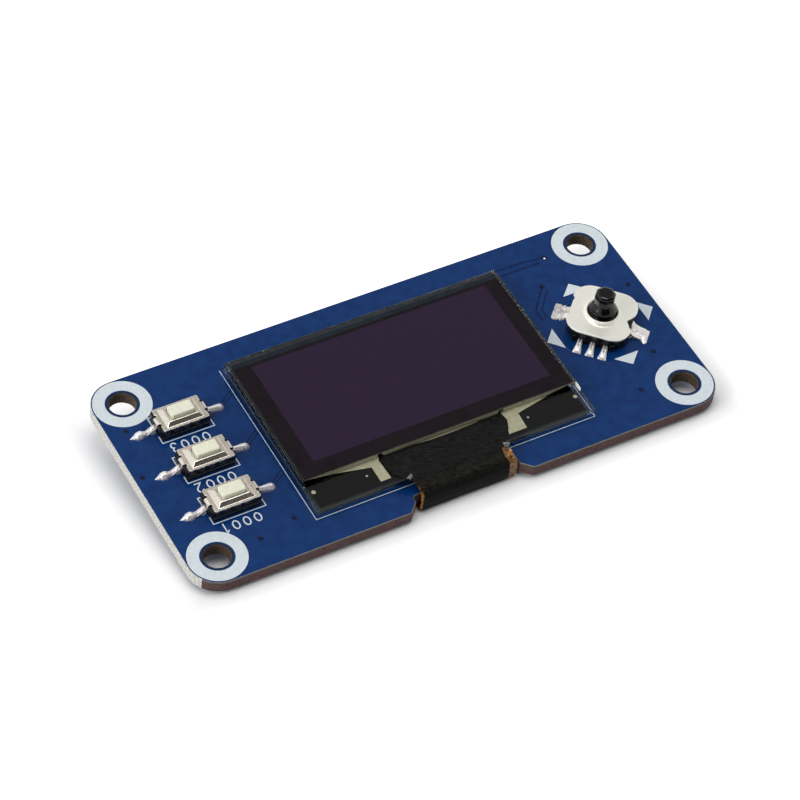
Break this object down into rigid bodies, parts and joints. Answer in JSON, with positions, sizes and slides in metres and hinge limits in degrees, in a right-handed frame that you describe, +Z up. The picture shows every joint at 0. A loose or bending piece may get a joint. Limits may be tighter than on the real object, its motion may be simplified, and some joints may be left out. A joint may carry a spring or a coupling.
{
  "type": "small display board with keys and joystick",
  "caption": "Small circuit board with a glass display panel, push keys, a five-way joystick and a pin socket underneath, screwed down at its corners.",
  "frame": {"origin": "centre of the four mounting holes, on the underside of the board", "axes": "+X along the board from the keys to the joystick, +Y from the flex edge to the socket edge, +Z up out of the face with the display"},
  "size_m": [0.065, 0.03, 0.0115],
  "materials": {
    "solder_mask": "satin",
    "foam": "matte",
    "ledge_glass": "gloss",
    "pixel_layer": "gloss",
    "black_seal": "matte",
    "cover_glass": "gloss",
    "polarizer": "gloss",
    "silicon": "polished",
    "polyimide": "satin",
    "cloth_tape": "woven",
    "solder": "bright",
    "black_moulding": "matte",
    "tinned_lead": "satin",
    "spring_sheet": "satin",
    "key_metal": "satin",
    "joystick_metal": "satin",
    "ivory_plastic": "satin",
    "stick_plastic": "satin",
    "gold_contact": "plated",
    "capacitor_body": "satin",
    "resistor_body": "gloss"
  },
  "bodies": {
    "board": {"circuit_board": "solder_mask", "display_foam_pad": "foam", "display_rear_glass": "ledge_glass", "display_pixel_layer": "pixel_layer", "display_seal": "black_seal", "display_front_glass": "cover_glass", "display_polarizer": "polarizer", "display_driver_chip": "silicon", "display_flex": "polyimide", "display_flex_tape": "cloth_tape", "key1_housing": "black_moulding", "key1_terminals": "tinned_lead", "key1_dome": "spring_sheet", "key1_cover": "key_metal", "key2_housing": "black_moulding", "key2_terminals": "tinned_lead", "key2_dome": "spring_sheet", "key2_cover": "key_metal", "key3_housing": "black_moulding", "key3_terminals": "tinned_lead", "key3_dome": "spring_sheet", "key3_cover": "key_metal", "key_solder": "solder", "joystick_housing": "black_moulding", "joystick_terminals": "tinned_lead", "joystick_contact_plate": "spring_sheet", "joystick_cover": "joystick_metal", "joystick_solder": "solder", "header_housing": "black_moulding", "header_contacts": "gold_contact", "board_capacitors": "capacitor_body", "board_resistors": "resistor_body"},
    "key1_button": {"key1_plunger": "ivory_plastic"},
    "key2_button": {"key2_plunger": "ivory_plastic"},
    "key3_button": {"key3_plunger": "ivory_plastic"},
    "joystick_ring": {"joystick_drive_ring": "black_moulding"},
    "joystick_guide": {"joystick_collar": "stick_plastic"},
    "joystick_stick": {"joystick_post": "stick_plastic"}
  },
  "joints": [
    {"name": "key1_press", "type": "slide", "parent": "board", "child": "key1_button", "axis": [0, 0, -1], "range_m": [0, 0.00025], "stiffness_N_per_m": 1500, "springref_m": -0.0003, "deforming": ["key1_dome"]},
    {"name": "key2_press", "type": "slide", "parent": "board", "child": "key2_button", "axis": [0, 0, -1], "range_m": [0, 0.00025], "stiffness_N_per_m": 1500, "springref_m": -0.0003, "deforming": ["key2_dome"]},
    {"name": "key3_press", "type": "slide", "parent": "board", "child": "key3_button", "axis": [0, 0, -1], "range_m": [0, 0.00025], "stiffness_N_per_m": 1500, "springref_m": -0.0003, "deforming": ["key3_dome"]},
    {"name": "joystick_tilt_x", "type": "hinge", "parent": "board", "child": "joystick_ring", "pos_m": [0.0249, 0, 0.0025], "axis": [1, 0, 0], "range_deg": [-6, 6], "stiffness_Nm_per_rad": 0.05},
    {"name": "joystick_tilt_y", "type": "hinge", "parent": "joystick_ring", "child": "joystick_guide", "pos_m": [0.0249, 0, 0.0025], "axis": [0, 1, 0], "range_deg": [-6, 6], "stiffness_Nm_per_rad": 0.05},
    {"name": "joystick_push", "type": "slide", "parent": "joystick_guide", "child": "joystick_stick", "axis": [0, 0, -1], "range_m": [0, 0.0002], "stiffness_N_per_m": 1500, "springref_m": -0.0003, "deforming": ["joystick_contact_plate"]}
  ]
}
